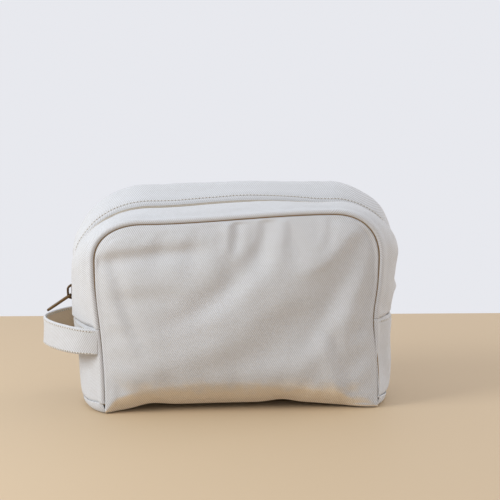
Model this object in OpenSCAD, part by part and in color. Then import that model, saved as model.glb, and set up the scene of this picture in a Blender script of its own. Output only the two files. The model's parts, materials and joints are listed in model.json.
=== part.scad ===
// Zipped canvas wash bag with a side loop handle.
// Origin: centre of the base's flat underside. +Z up, +Y to the back, the front panel faces -Y.
// Every cloth panel is a thin curved sheet. The body's outer surface runs from the front seam,
// over a fuller middle line that carries the zip, to the back seam.

/* [Body] */
// Width across the front seam at its widest
seam_w = 243; // [220:1:260]
// Height of the front seam above the table
front_h = 165; // [155:1:175]
// Height of the back seam above the table
back_h = 172; // [160:1:180]
// Distance between the front and back seams
depth = 100; // [90:1:120]
// Corner radius of the front seam
corner_r = 32; // [24:1:40]
// How far the sides swell past the seams at the zip
side_swell = 17.5; // [10:0.5:22]
// How far the top swells above the front seam at the zip
top_swell = 8; // [4:0.5:12]
// Extra puff of the back half of the top
back_puff = 13; // [0:0.5:15]
// How far the front and back panels belly out
crown = 6; // [2:0.5:8]
// Thickness of the canvas
canvas_t = 1.2; // [0.8:0.1:1.6]
// Thickness of the lining
lining_t = 0.4; // [0.3:0.1:0.6]

/* [Zip] */
// Height at which the zip starts on each side
zip_z = 75; // [65:1:85]
// Half the gap between the two folded canvas edges
zip_gap = 4.8; // [4.6:0.1:6]
// Width of one half of the zip tape
tape_w = 14; // [12:0.5:16]
// Width of one row of zip teeth
coil_w = 2.8; // [2.4:0.1:3]
// Height of the teeth above the tape
coil_t = 2.2; // [1.8:0.1:2.3]
// Height of the slider's lower end
slider_z = 90.5; // [86:0.5:92]
// Length of the slider
slider_l = 14; // [12:0.5:14]
// Half the width of the slider
slider_hw = 4.2; // [4:0.1:4.4]
// Length of the pull tab from its pivot to its tip
pull_l = 24; // [20:0.5:25]
// Angle of the resting pull tab above straight down
pull_rest = 56.5; // [56:0.5:70]

/* [Handle] */
// Width of the strap
strap_w = 20.5; // [18:0.5:25]
// Thickness of the folded strap
strap_t = 2.6; // [2:0.1:3.5]
// Height of the strap's top edge
strap_top = 74.5; // [70:0.5:74.5]
// How far the loop's far end is from the middle of the bag
strap_reach = 164; // [155:0.5:170]

/* [Hidden] */

canvas = [0.86, 0.85, 0.83];
cotton = [0.92, 0.91, 0.88];
nylon = [0.94, 0.93, 0.90];
brass = [0.42, 0.31, 0.20];

hd = depth / 2;
seam_gap = 0.2; // clear air between sewn edges that meet
split_gap = 0.2; // each side of the fold line across the front
base_w = 232; // seam width at the table
zip_w = 238; // seam width where the zip starts
seam_hw = seam_w / 2;
mid_hw = seam_hw + side_swell;
flat_hw = seam_hw - corner_r;
arc_z = front_h - corner_r;
back_r = corner_r + 2;
mid_top = front_h + top_swell;
low_mid_z = 20; // below this height the sides curl in to the base
low_mid_hw = 132;
base_mid_hw = 125;
edge_v = 1 - seam_gap / hd;

tape_o = 2.4; // depth of the tape below the canvas surface
tape_t = 0.6;
tape_gap = 1.3; // each tape's edge to the middle of the zip
strip_lining_o = 3.3;
panel_lining_o = 1.6;
lining_in = 4.5; // how far a flat lining stays inside its seam
binding_in = 4.5;
binding_w = 7.5;
binding_t = 2;

n_side = 4; // steps up each straight side
n_arc = 8; // steps round each top corner
n_top = 6; // steps along the top
n_cols = 9; // steps across a strip
n_tape = 8; // steps across a zip tape
n_panel = 14; // steps across a flat panel

function mix(a, b, t) = a + (b - a) * t;
function steps(a, b, n) = [for (i = [0:n]) mix(a, b, i / n)];
function reverse(list) = [for (i = [len(list) - 1:-1:0]) list[i]];

// Half an arch from its foot at z0 to the middle of the top, on the right, as [x, z].
function half_arch(w0, w1, z0, za, cx, rx, rz) = concat(
    [for (t = steps(0, 1, n_side)) [mix(w0, w1, (mix(z0, za, t) - zip_z) / (za - zip_z)), mix(z0, za, t)]],
    [for (i = [1:n_arc]) [cx + rx * cos(90 * i / n_arc), za + rz * sin(90 * i / n_arc)]],
    [for (i = [1:n_top]) [cx * (1 - i / n_top), za + rz]]);
// A whole arch, from the left foot at height zl over the top to the right foot at height zr.
function arch(w0, w1, zl, zr, za, cx, rx, rz) =
    let (left = half_arch(w0, w1, zl, za, cx, rx, rz), right = half_arch(w0, w1, zr, za, cx, rx, rz))
    concat([for (p = left) [-p[0], p[1]]], [for (i = [len(right) - 2:-1:0]) right[i]]);
function front_arch(zl, zr) =
    arch(zip_w / 2, seam_hw, zl, zr, arc_z, flat_hw, corner_r, corner_r);
function back_arch(zl, zr) =
    arch(zip_w / 2, seam_hw, zl, zr, back_h - back_r, seam_hw - back_r, back_r, back_r);
function mid_arch(zl, zr) =
    arch(mid_hw, mid_hw, zl, zr, arc_z, flat_hw, mid_hw - flat_hw, mid_top - arc_z);

// Outward directions that go with the points of an arch.
function arch_out() =
    let (right = concat([for (i = [0:n_side]) [1, 0]],
        [for (i = [1:n_arc]) [cos(90 * i / n_arc), sin(90 * i / n_arc)]],
        [for (i = [1:n_top]) [0, 1]]))
    concat([for (d = right) [-d[0], d[1]]], [for (i = [len(right) - 2:-1:0]) right[i]]);

function swell(v) = 1 - pow(abs(v), 2.2);
// The point of the body's surface between seam point s and middle point m at depth share v,
// o below it against the outward direction n.
function skin(s, m, n, v, o) =
    let (puff = v > 0.09 ? back_puff * n[1] * sin(180 * (v - 0.09) / 0.91) : 0,
         p = s + (m - s) * swell(v) + n * (puff - o))
    [p[0], hd * v, p[1]];
// Grid of points at depth o over the arch, for the list vs of depth shares.
function arch_grid(vs, o, zl = zip_z + 0.3, zr = zip_z + 0.3) =
    let (front = front_arch(zl, zr), back = back_arch(zl, zr), mid = mid_arch(zl, zr), out = arch_out())
    [for (i = [0:len(mid) - 1]) [for (v = vs) skin(v < 0 ? front[i] : back[i], mid[i], out[i], v, o)]];

function low_seam(z) = mix(base_w, zip_w, z / zip_z) / 2;
function low_mid(z) = z > low_mid_z
    ? mix(low_mid_hw, mid_hw, (z - low_mid_z) / (zip_z - low_mid_z))
    : low_mid_hw - (low_mid_hw - base_mid_hw) * pow(1 - z / low_mid_z, 2);
function side_grid(side, vs, zs, o) = [for (z = zs) [for (v = vs)
    [side * (mix(low_seam(z), low_mid(z), swell(v)) - o), hd * v, z]]];

// Heights and half widths of a panel with top h and corner radius r, between heights z0 and z1.
function panel_rows(h, r, z0, z1) = concat(
    z0 < zip_z ? [for (z = steps(z0, min(z1, zip_z), 5)) [low_seam(z), z]] : [],
    z1 > zip_z ? [for (z = steps(max(z0, zip_z), h - r, 5))
        [mix(zip_w / 2, seam_hw, (z - zip_z) / (h - r - zip_z)), z]] : [],
    z1 > zip_z
        ? [for (i = [1:n_arc]) [seam_hw - r + r * cos(90 * i / n_arc), h - r + r * sin(90 * i / n_arc)]]
        : []);
// Grid of a flat panel's points, bellied out by the crown. side is -1 for the front and 1 for the back.
function panel_grid(rows, h, side, y, inset) = [for (row = rows) [for (c = steps(-1, 1, n_panel))
    let (z = mix(row[1], h / 2, inset / (h / 2)), g = 1 - pow((z - h / 2) / (h / 2), 2))
    [(row[0] - inset) * c, side * (hd + y + crown * (1 - c * c) * g), z]]];

// Closed thin solid between two grids of points. outer lies on the side that row x column points to.
module sheet(outer, inner) {
    rows = len(outer);
    cols = len(outer[0]);
    n = rows * cols;
    points = concat([for (row = outer) each row], [for (row = inner) each row]);
    function at(k, i, j) = k * n + i * cols + j;
    function quad(a, b, c, d) = [[a, c, b], [a, d, c]];
    faces = concat(
        [for (i = [0:rows - 2], j = [0:cols - 2]) each
            quad(at(0, i, j), at(0, i + 1, j), at(0, i + 1, j + 1), at(0, i, j + 1))],
        [for (i = [0:rows - 2], j = [0:cols - 2]) each
            quad(at(1, i, j), at(1, i, j + 1), at(1, i + 1, j + 1), at(1, i + 1, j))],
        [for (i = [0:rows - 2]) each quad(at(0, i, 0), at(1, i, 0), at(1, i + 1, 0), at(0, i + 1, 0))],
        [for (i = [0:rows - 2]) each
            quad(at(0, i + 1, cols - 1), at(1, i + 1, cols - 1), at(1, i, cols - 1), at(0, i, cols - 1))],
        [for (j = [0:cols - 2]) each quad(at(0, 0, j + 1), at(1, 0, j + 1), at(1, 0, j), at(0, 0, j))],
        [for (j = [0:cols - 2]) each
            quad(at(0, rows - 1, j), at(1, rows - 1, j), at(1, rows - 1, j + 1), at(0, rows - 1, j + 1))]);
    polyhedron(points, faces);
}

// A sheet over the arch between depth shares v0 and v1, from depth o to o + t.
module arch_sheet(v0, v1, o, t, n = n_cols, zl = zip_z + 0.3, zr = zip_z + 0.3) {
    vs = steps(v0, v1, n);
    sheet(arch_grid(vs, o, zl, zr), arch_grid(vs, o + t, zl, zr));
}

// A flat panel's sheet, from y to y + t outside the seam plane.
module panel_sheet(h, r, side, z0, z1, y, t, inset = 0) {
    rows = panel_rows(h, r, z0, z1);
    near = panel_grid(rows, h, side, y, inset);
    far = panel_grid(rows, h, side, y + t, inset);
    if (side < 0) sheet(near, far);
    else sheet(far, near);
}

module side_sheet(side, z0, z1, o, t, v_edge = edge_v) {
    vs = steps(-v_edge, v_edge, 12);
    zs = concat(steps(z0, low_mid_z, 4), [for (z = steps(low_mid_z, z1, 4)) if (z > low_mid_z) z]);
    outer = side_grid(side, vs, zs, o);
    inner = side_grid(side, vs, zs, o + t);
    if (side < 0) sheet(outer, inner);
    else sheet(inner, outer);
}

// Outline of the seam in the XZ plane, moved in by d.
module seam_shape(h, r, d) {
    right = concat([[low_seam(0) - d, d], [zip_w / 2 - d, zip_z]],
        [for (i = [0:n_arc])
            [seam_hw - r + (r - d) * cos(90 * i / n_arc), h - r + (r - d) * sin(90 * i / n_arc)]]);
    polygon(concat(right, [for (p = reverse(right)) [-p[0], p[1]]]));
}

module seam_binding(h, r, y) {
    translate([0, y, 0]) rotate([90, 0, 0]) linear_extrude(binding_t) difference() {
        seam_shape(h, r, binding_in);
        seam_shape(h, r, binding_in + binding_w);
    }
}

module below_fold() {
    intersection() {
        children();
        translate([-seam_w, -depth, -1]) cube([2 * seam_w, 2 * depth, zip_z - split_gap + 1]);
    }
}
module above_fold() {
    intersection() {
        children();
        translate([-seam_w, -depth, zip_z + split_gap]) cube([2 * seam_w, 2 * depth, front_h]);
    }
}

module front_panel_lower() {
    color(canvas) panel_sheet(front_h, corner_r, -1, 0.4, zip_z - split_gap, 0, canvas_t);
}
module front_panel_upper() {
    color(canvas) panel_sheet(front_h, corner_r, -1, zip_z + split_gap, front_h, 0, canvas_t);
}
module back_panel() {
    color(canvas) panel_sheet(back_h, back_r, 1, 0.4, back_h, 0, canvas_t);
}
module base_panel() {
    vs = steps(-edge_v, edge_v, 16);
    right = [for (v = vs) [mix(base_w / 2, base_mid_hw, swell(v)), hd * v]];
    color(canvas) linear_extrude(canvas_t)
        polygon(concat(right, [for (p = reverse(right)) [-p[0], p[1]]]));
}
module left_side_panel() {
    color(canvas) side_sheet(-1, canvas_t + seam_gap, zip_z - split_gap, 0, canvas_t);
}
module right_side_panel() {
    color(canvas) side_sheet(1, canvas_t + seam_gap, zip_z - split_gap, 0, canvas_t);
}
module front_zip_strip() {
    color(canvas) arch_sheet(-edge_v, -zip_gap / hd, 0, canvas_t);
}
module back_zip_strip() {
    color(canvas) arch_sheet(zip_gap / hd, edge_v, 0, canvas_t);
}

module front_lining_lower() {
    color(cotton) panel_sheet(front_h, corner_r, -1, 0.4, zip_z - 2, -0.8, lining_t, lining_in);
}
module front_lining_upper() {
    color(cotton) panel_sheet(front_h, corner_r, -1, zip_z + 2, front_h, -0.8, lining_t, lining_in);
}
module back_lining() {
    color(cotton) panel_sheet(back_h, back_r, 1, 0.4, back_h, -0.8, lining_t, lining_in);
}
module base_lining() {
    x = base_w / 2 - 3;
    color(cotton) translate([-x, 6 - hd, canvas_t + 0.3]) cube([2 * x, depth - 12, lining_t]);
}
module left_side_lining() {
    color(cotton) side_sheet(-1, canvas_t + 1.2, zip_z - 1, panel_lining_o, lining_t, 0.97);
}
module right_side_lining() {
    color(cotton) side_sheet(1, canvas_t + 1.2, zip_z - 1, panel_lining_o, lining_t, 0.97);
}
module front_strip_lining() {
    color(cotton) arch_sheet(-0.985, -0.17, strip_lining_o, lining_t);
}
module back_strip_lining() {
    color(cotton) arch_sheet(0.17, 0.985, strip_lining_o, lining_t);
}

module front_seam_binding_lower() {
    color(cotton) below_fold() seam_binding(front_h, corner_r, binding_t + 1.4 - hd);
}
module front_seam_binding_upper() {
    color(cotton) above_fold() seam_binding(front_h, corner_r, binding_t + 1.4 - hd);
}
module back_seam_binding() {
    color(cotton) seam_binding(back_h, back_r, hd - 1.4);
}
// Bound seams inside each side, where the side panels meet the zip strips.
module side_seam_bindings() {
    x = low_seam(zip_z) - 6;
    color(cotton) for (side = [-1, 1])
        translate([side * x - 4, 15 - hd, zip_z - 3]) cube([8, depth - 30, 2]);
}

module front_zip_tape() {
    color(nylon) arch_sheet(-(tape_gap + tape_w) / hd, -tape_gap / hd, tape_o, tape_t, n_tape);
}
module back_zip_tape() {
    color(nylon) arch_sheet(tape_gap / hd, (tape_gap + tape_w) / hd, tape_o, tape_t, n_tape);
}
// One row of teeth as a plain bar, with the crimped stop at its closed end.
module zip_coil(side) {
    y0 = side < 0 ? -(0.3 + coil_w) : 0.3;
    foot = slider_z + 5.5;
    arch_sheet(y0 / hd, (y0 + coil_w) / hd, tape_o - 0.1 - coil_t, coil_t, 2, foot, zip_z + 4);
    translate([-mid_hw + 0.4, side < 0 ? -3.6 : 1.4, slider_z - 3.4]) cube([1.9, 2.2, 2.4]);
}
module front_zip_coil() {
    color(nylon) zip_coil(-1);
}
module back_zip_coil() {
    color(nylon) zip_coil(1);
}
module zip_bottom_stop() {
    color(brass) translate([mid_hw - 2.1, -3.4, zip_z + 1.2]) cube([1.9, 6.8, 1.8]);
}

// The slider lies flat on the left side, so its own outward direction is -X.
module slider_body() {
    top_o = -0.3;
    plate = 1.2;
    color(brass) translate([-mid_hw, 0, slider_z]) union() {
        translate([top_o - plate, -slider_hw, 0]) cube([plate, 2 * slider_hw, slider_l]);
        for (side = [-1, 1])
            translate([top_o, side * (slider_hw - 0.4) - 0.4, 0]) cube([2.3, 0.8, slider_l]);
        translate([tape_o + tape_t + 0.4, 0.4 - slider_hw, 0.4])
            cube([1, 2 * slider_hw - 0.8, slider_l - 0.8]);
        translate([top_o, 0, 2]) rotate([0, 90, 0])
            cylinder(r = 0.9, h = tape_o + tape_t + 0.9 - top_o, $fn = 32);
    }
}
bail_t = 1.1;
bail_h = 3.5;
bail_y = 2.6;
plate_x = -(mid_hw + 1.5);
module slider_bail() {
    foot = 0.8;
    shoulder = 2.2;
    outer = [[0, foot], [-bail_h, shoulder], [-bail_h, slider_l - 3.4], [0, slider_l - foot]];
    inner = [[0, foot + bail_t], [-(bail_h - bail_t), shoulder + 0.6], [-(bail_h - bail_t), slider_l - 4.2],
        [0, slider_l - foot - bail_t - 0.6]];
    color(brass) translate([plate_x, bail_y / 2, slider_z]) rotate([90, 0, 0]) linear_extrude(bail_y)
        polygon(concat(outer, reverse(inner)));
}

pivot = [plate_x - 1.35, 0, slider_z + 3.6];
pin_r = 0.75;
// Pull tab drawn hanging straight down from its pivot, then turned out to its rest angle.
module pull_tab() {
    arm_y = 1.7;
    tab_hw = 3.2;
    slot = 11;
    color(brass) translate(pivot) rotate([0, pull_rest, 0]) union() {
        rotate([90, 0, 0]) translate([0, 0, -tab_hw]) cylinder(r = pin_r, h = 2 * tab_hw, $fn = 32);
        for (side = [-1, 1])
            translate([-pin_r, side * (tab_hw + arm_y) / 2 - (tab_hw - arm_y) / 2, -slot])
                cube([2 * pin_r, tab_hw - arm_y, slot]);
        translate([-pin_r, -tab_hw, tab_hw - pull_l]) cube([2 * pin_r, 2 * tab_hw, pull_l - tab_hw - slot]);
        translate([-pin_r, 0, tab_hw - pull_l]) rotate([0, 90, 0])
            cylinder(r = tab_hw, h = 2 * pin_r, $fn = 48);
    }
}

// Middle line of the strap in plan, as one cubic curve for each half of the loop.
handle_x = -(zip_w / 2 + 4.5);
loop_ends = [[handle_x, 1.2 - hd], [handle_x - 17, 1.2 - hd], [-strap_reach, -17], [-strap_reach, 0]];
function cubic(p, t) =
    p[0] * pow(1 - t, 3) + 3 * p[1] * t * pow(1 - t, 2) + 3 * p[2] * t * t * (1 - t) + p[3] * pow(t, 3);
function cubic_dir(p, t) =
    let (d = 3 * (p[1] - p[0]) * pow(1 - t, 2) + 6 * (p[2] - p[1]) * t * (1 - t) + 3 * (p[3] - p[2]) * t * t)
        d / norm(d);
module handle_strap() {
    n = 14;
    front = [for (t = steps(0, 1, n)) let (p = cubic(loop_ends, t), d = cubic_dir(loop_ends, t))
        [p, [d[1], -d[0]] * strap_t / 2]];
    inner = [for (q = front) q[0] - q[1]];
    outer = [for (q = front) q[0] + q[1]];
    function mirrored(list) = [for (i = [len(list) - 2:-1:0]) [list[i][0], -list[i][1]]];
    color(canvas) translate([0, 0, strap_top - strap_w]) linear_extrude(strap_w)
        polygon(concat(outer, mirrored(outer), reverse(concat(inner, mirrored(inner)))));
}
// The last few millimetres of the strap at each end, held in the seams.
module handle_ends() {
    color(canvas) for (side = [-1, 1])
        translate([handle_x + 0.4, side * (hd - 1.2) - strap_t / 2, strap_top - strap_w])
            cube([1.6, strap_t, strap_w]);
}

front_panel_lower();
front_panel_upper();
back_panel();
base_panel();
left_side_panel();
right_side_panel();
front_zip_strip();
back_zip_strip();
front_lining_lower();
front_lining_upper();
back_lining();
base_lining();
left_side_lining();
right_side_lining();
front_strip_lining();
back_strip_lining();
front_seam_binding_lower();
front_seam_binding_upper();
back_seam_binding();
side_seam_bindings();
front_zip_tape();
back_zip_tape();
front_zip_coil();
back_zip_coil();
zip_bottom_stop();
slider_body();
slider_bail();
pull_tab();
handle_strap();
handle_ends();
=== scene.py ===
import json
import math
import bpy
import numpy as np
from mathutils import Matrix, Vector


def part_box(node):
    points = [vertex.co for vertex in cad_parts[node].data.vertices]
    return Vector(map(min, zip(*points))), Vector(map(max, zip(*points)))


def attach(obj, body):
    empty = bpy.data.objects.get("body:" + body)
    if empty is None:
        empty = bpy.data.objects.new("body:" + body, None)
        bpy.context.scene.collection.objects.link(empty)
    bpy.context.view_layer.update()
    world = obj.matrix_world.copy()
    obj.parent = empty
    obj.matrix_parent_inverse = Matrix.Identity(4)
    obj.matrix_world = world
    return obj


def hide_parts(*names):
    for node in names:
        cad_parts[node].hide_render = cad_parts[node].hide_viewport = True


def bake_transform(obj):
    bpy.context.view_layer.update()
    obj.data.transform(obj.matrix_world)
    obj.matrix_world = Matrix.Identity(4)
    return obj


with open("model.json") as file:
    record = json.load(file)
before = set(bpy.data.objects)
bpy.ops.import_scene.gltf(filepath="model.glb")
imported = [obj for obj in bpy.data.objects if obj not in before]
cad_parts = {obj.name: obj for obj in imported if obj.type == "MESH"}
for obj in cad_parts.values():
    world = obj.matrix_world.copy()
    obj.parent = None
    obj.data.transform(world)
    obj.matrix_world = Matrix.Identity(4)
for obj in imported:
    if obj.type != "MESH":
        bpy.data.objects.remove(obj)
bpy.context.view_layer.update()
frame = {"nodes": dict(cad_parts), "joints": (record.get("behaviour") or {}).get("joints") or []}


# ---------------- small helpers (millimetres inside)
def box(node):
    lo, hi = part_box(node)
    return np.array(lo) * 1000, np.array(hi) * 1000


def ease(a, b, x):
    t = np.clip((x - a) / (b - a), 0, 1)
    return t * t * (3 - 2 * t)


def hump(x, c, w):
    return np.exp(-(((x - c) / w) ** 2))


def unit(v):
    return v / np.maximum(np.linalg.norm(v, axis=-1, keepdims=True), 1e-9)


def waves(p, size, seed, n=7):
    """Smooth, repeatable unevenness between about -1 and 1 with features of about the given size."""
    r = np.random.default_rng(seed)
    k = unit(r.normal(size=(n, 3))) * (2 * math.pi / size) * r.uniform(0.55, 1.5, (n, 1))
    return np.sin(p @ k.T + r.uniform(0, 6.28, n)).sum(-1) / math.sqrt(n) / 1.4


def normals(g):
    return unit(np.cross(np.gradient(g, axis=0), np.gradient(g, axis=1)))


def run(line):
    """Distance along a line at each of its points."""
    return np.concatenate([[0], np.cumsum(np.linalg.norm(np.diff(line, axis=0), axis=1))])


def sample(t, d, line):
    """A line's values at distances t, given the distance d of each of its points."""
    return np.stack([np.interp(t, d, line[:, k]) for k in range(line.shape[1])], 1)


def resample(line, n):
    d = run(line)
    return sample(np.linspace(0, d[-1], n), d, line)


def cells(r, c):
    """The first point of every cell in a grid of r rows and c columns."""
    i, j = np.meshgrid(np.arange(r - 1), np.arange(c - 1), indexing="ij")
    return (i * c + j).ravel()


def rim(r, c):
    """The outer points of such a grid, in order."""
    return np.concatenate([np.arange(c), np.arange(1, r) * c + c - 1,
                           (r - 1) * c + np.arange(c - 2, -1, -1), np.arange(r - 2, 0, -1) * c])


def pipe(m, n, start=0, flip=False):
    """The faces of m rings of n points with closed ends, numbered from start."""
    faces = [(i + j, i + (j + 1) % n, i + n + (j + 1) % n, i + n + j)
             for i in range(start, start + (m - 1) * n, n) for j in range(n)]
    ends = [tuple(range(start + n - 1, start - 1, -1)), tuple(range(start + (m - 1) * n, start + m * n))]
    if flip:
        return [f[:1] + f[:0:-1] for f in faces] + [f[::-1] for f in ends]
    return faces + ends


# ---------------- mesh makers
def make(name, verts, faces, uv=None, smooth=True):
    me = bpy.data.meshes.new(name)
    me.from_pydata((np.asarray(verts) / 1000).tolist(), [], [list(map(int, f)) for f in faces])
    if uv is not None:
        layer = me.uv_layers.new(name="cloth")
        idx = np.zeros(len(me.loops), np.int32)
        me.loops.foreach_get("vertex_index", idx)
        layer.data.foreach_set("uv", (np.asarray(uv) / 1000)[idx].astype(np.float32).ravel())
    me.validate()
    if smooth:
        me.polygons.foreach_set("use_smooth", [True] * len(me.polygons))
    me.update()
    o = bpy.data.objects.new(name, me)
    bpy.context.scene.collection.objects.link(o)
    return o


def grid_uv(g):
    """Cloth coordinates of a grid of points: distance along its rows and columns."""
    a = np.linalg.norm(np.diff(g, axis=0), axis=2).mean(1)
    b = np.linalg.norm(np.diff(g, axis=1), axis=2)
    u = np.concatenate([[0], np.cumsum(a)])[:, None] * np.ones(g.shape[1])
    v = np.concatenate([np.zeros((g.shape[0], 1)), np.cumsum(b, axis=1)], axis=1)
    v = v - v[:, [g.shape[1] // 2]]
    return np.stack([v, u], -1)


def strip_uv(g):
    """Cloth coordinates of a strip that was cut with its threads running across it."""
    return grid_uv(g)[..., ::-1] * [-1, 1]


def shell(name, g, t, uv=None, inner=None):
    """A closed sheet of cloth: g is its outer face, row x column pointing outward, t its thickness."""
    r, c, _ = g.shape
    inn = g - normals(g) * t if inner is None else inner
    inn[..., 2] = np.maximum(inn[..., 2], 0.05)
    uv = grid_uv(g) if uv is None else uv
    verts = np.concatenate([g.reshape(-1, 3), inn.reshape(-1, 3)])
    n = r * c
    a = cells(r, c)
    top = np.stack([a, a + c, a + c + 1, a + 1], 1)
    bot = np.stack([a + n, a + 1 + n, a + c + 1 + n, a + c + n], 1)
    ring = rim(r, c)
    nxt = np.roll(ring, -1)
    side = np.stack([ring, nxt, nxt + n, ring + n], 1)
    return make(name, verts, np.concatenate([top, bot, side]), np.concatenate([uv.reshape(-1, 2)] * 2))


def tube(name, line, radius, n=8):
    d = unit(np.gradient(line, axis=0))
    a = unit(np.cross(d, [0.03, 1.0, 0.02]))
    b = np.cross(d, a)
    ang = np.linspace(0, 2 * math.pi, n, endpoint=False)
    ring = a[:, None] * np.cos(ang)[None, :, None] + b[:, None] * np.sin(ang)[None, :, None]
    return make(name, (line[:, None] + ring * radius).reshape(-1, 3), pipe(len(line), n))


def capsules(name, centre, along, up, length, radius, flat=0.8, n=7, arch=0.0):
    """Many short rounded bars in one mesh, such as stitches or zip teeth."""
    centre, along, up = (np.asarray(x, float) for x in (centre, along, up))
    along = unit(along)
    side = unit(np.cross(along, up))
    up = np.cross(side, along)
    ts = np.array([-1, -0.86, -0.5, 0, 0.5, 0.86, 1.0])
    rs = np.array([0.35, 0.8, 1, 1, 1, 0.8, 0.35])
    ang = np.linspace(0, 2 * math.pi, n, endpoint=False)
    ring = side[:, None, None] * np.cos(ang)[None, None, :, None] + up[:, None, None] * (
        np.sin(ang) * flat)[None, None, :, None]
    body = (centre[:, None, None] + along[:, None, None] * (ts * length / 2)[None, :, None, None]
            + up[:, None, None] * (arch * (1 - ts ** 2))[None, :, None, None]
            + ring * (rs * radius)[None, :, None, None])
    size = len(ts) * n
    faces = [f for q in range(len(centre)) for f in pipe(len(ts), n, q * size)]
    return make(name, body.reshape(-1, 3), faces)


def stitches(name, line, up, pitch, length, radius, seed, lift=0.0):
    d = run(line)
    n = max(2, int(d[-1] / pitch))
    r = np.random.default_rng(seed)
    t = (np.arange(n) + 0.5) * d[-1] / n
    c, u = sample(t, d, line), unit(sample(t, d, up))
    e = sample(np.minimum(t + pitch / 2, d[-1]), d, line) - sample(np.maximum(t - pitch / 2, 0), d, line)
    e = unit(e) + unit(np.cross(e, u)) * r.normal(0, 0.06, (n, 1))
    return capsules(name, c + u * lift, e, u, length, radius, 0.75, 6, arch=0.12)


def holes(name, line, up, pitch):
    """Small dark capsules between stitches: painted shade inside the needle holes."""
    d = run(line)
    n = max(2, int(d[-1] / pitch))
    t = np.arange(1, n) * d[-1] / n
    c, u, w = sample(t, d, line), sample(t, d, up), sample(t + 0.4, d, line)
    return capsules(name, c + unit(u) * 0.1, w - c + 1e-6, unit(u), 1.25, 0.5, 0.5, 6)


def extrude(name, outline, lo, hi, axis, bevel):
    """A flat outline, given in the other two axes, pushed along an axis, with softened edges."""
    rest = [k for k in range(3) if k != axis]
    pts = np.asarray(outline, float)
    area = 0.5 * np.sum(pts[:, 0] * np.roll(pts[:, 1], -1) - np.roll(pts[:, 0], -1) * pts[:, 1])
    flip = (area < 0) != (axis == 1)
    n = len(pts)
    verts = np.zeros((2 * n, 3))
    for k, z in enumerate((lo, hi)):
        verts[k * n:(k + 1) * n, rest[0]] = pts[:, 0]
        verts[k * n:(k + 1) * n, rest[1]] = pts[:, 1]
        verts[k * n:(k + 1) * n, axis] = z
    faces = [list(range(n - 1, -1, -1)), list(range(n, 2 * n))]
    faces += [[i, (i + 1) % n, n + (i + 1) % n, n + i] for i in range(n)]
    if flip:
        faces = [f[::-1] for f in faces]
    o = make(name, verts, faces)
    if bevel:
        b = o.modifiers.new("soft_edges", "BEVEL")
        b.width, b.segments, b.limit_method, b.angle_limit = bevel / 1000, 3, "ANGLE", 0.6
        b.harden_normals = True
    return o


def joined(name, parts):
    """Several meshes as one, with their modifiers applied."""
    dg = bpy.context.evaluated_depsgraph_get()
    verts, faces = [], []
    for o in parts:
        e = o.evaluated_get(dg)
        me = e.to_mesh()
        base = len(verts)
        verts += [tuple((o.matrix_world @ v.co) * 1000) for v in me.vertices]
        faces += [[base + k for k in p.vertices] for p in me.polygons]
        e.to_mesh_clear()
        bpy.data.objects.remove(o)
    return make(name, verts, faces)


# ---------------- the bag's measurements, from the CAD
PANEL_HI = box("front_panel_upper")[1]
HD = 50.0  # half the depth between the seams
SEAM = PANEL_HI[0]
TOP_F = PANEL_HI[2]
TOP_B = box("back_panel")[1][2]
MID = -box("front_zip_strip")[0][0]
ZIP = box("front_zip_strip")[0][2] - 0.3
GAP = -box("front_zip_strip")[1][1]  # half the gap between the folded edges
SL_LO, SL_HI = box("slider_body")


def left_seam(z):
    return SEAM - 8.2 + 6.5 * ease(10, 150, z) + 1.5 * hump(z, 104, 30)


def right_seam(z):
    return SEAM + 0.5 - 4.3 * hump(z, 77, 25) + 0.8 * ease(45, 15, z) - 0.2 * hump(z, 128, 25)


def left_mid(z):
    return MID - 7.2 * np.clip((ZIP - z) / ZIP, 0, 1) ** 1.3 - 2.5 * ease(12, 0, z) - 0.8 * hump(z, 38, 16)


def right_mid(z):
    above, below = 2.2 * ease(ZIP, 100, z) + 4 * hump(z, 138, 18), 2.2 * ease(ZIP, 20, z) + 5 * ease(14, 0, z)
    return MID + 1.6 + above - below


N_SIDE, N_CORNER, N_TOP = 62, 84, 130


def arch(wl, wr, zc, rx, rz, rise, blunt):
    """An arch seen from the front: foot, corner, top, corner, foot, as x, z and the outward direction.

    A corner is an ellipse where blunt is 1, squarer below 1 and more slanting above it.
    """
    t = np.linspace(0, 1, N_SIDE, endpoint=False)
    c = np.linspace(0, math.pi / 2, N_CORNER, endpoint=False)
    zl, zr = ZIP + (zc[0] - ZIP) * t, ZIP + (zc[1] - ZIP) * t
    xl, xr = wl(np.array([zc[0]]))[0] - rx[0], wr(np.array([zc[1]]))[0] - rx[1]
    hl, hr = zc[0] + rz[0], zc[1] + rz[1]
    cs, sn = np.cos(c), np.sin(c)
    pts = [np.stack([-wl(zl), zl], 1),
           np.stack([-xl - rx[0] * cs ** blunt[0], zc[0] + rz[0] * sn ** blunt[0]], 1)]
    out = [np.stack([-np.ones(N_SIDE), np.zeros(N_SIDE)], 1), np.stack([-cs, sn], 1)]
    s = np.linspace(0, 1, N_TOP + 1)
    height = hl + (hr - hl) * ease(0, 1, s) + rise * np.sin(math.pi * s) ** 2
    pts.append(np.stack([-xl + (xl + xr) * s, height], 1))
    out.append(np.stack([np.zeros(N_TOP + 1), np.ones(N_TOP + 1)], 1))
    pts += [np.stack([xr + rx[1] * cs ** blunt[1], zc[1] + rz[1] * sn ** blunt[1]], 1)[::-1],
            np.stack([wr(zr), zr], 1)[::-1]]
    out += [np.stack([cs, sn], 1)[::-1], np.stack([np.ones(N_SIDE), np.zeros(N_SIDE)], 1)]
    return np.concatenate(pts), np.concatenate(out)


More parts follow.
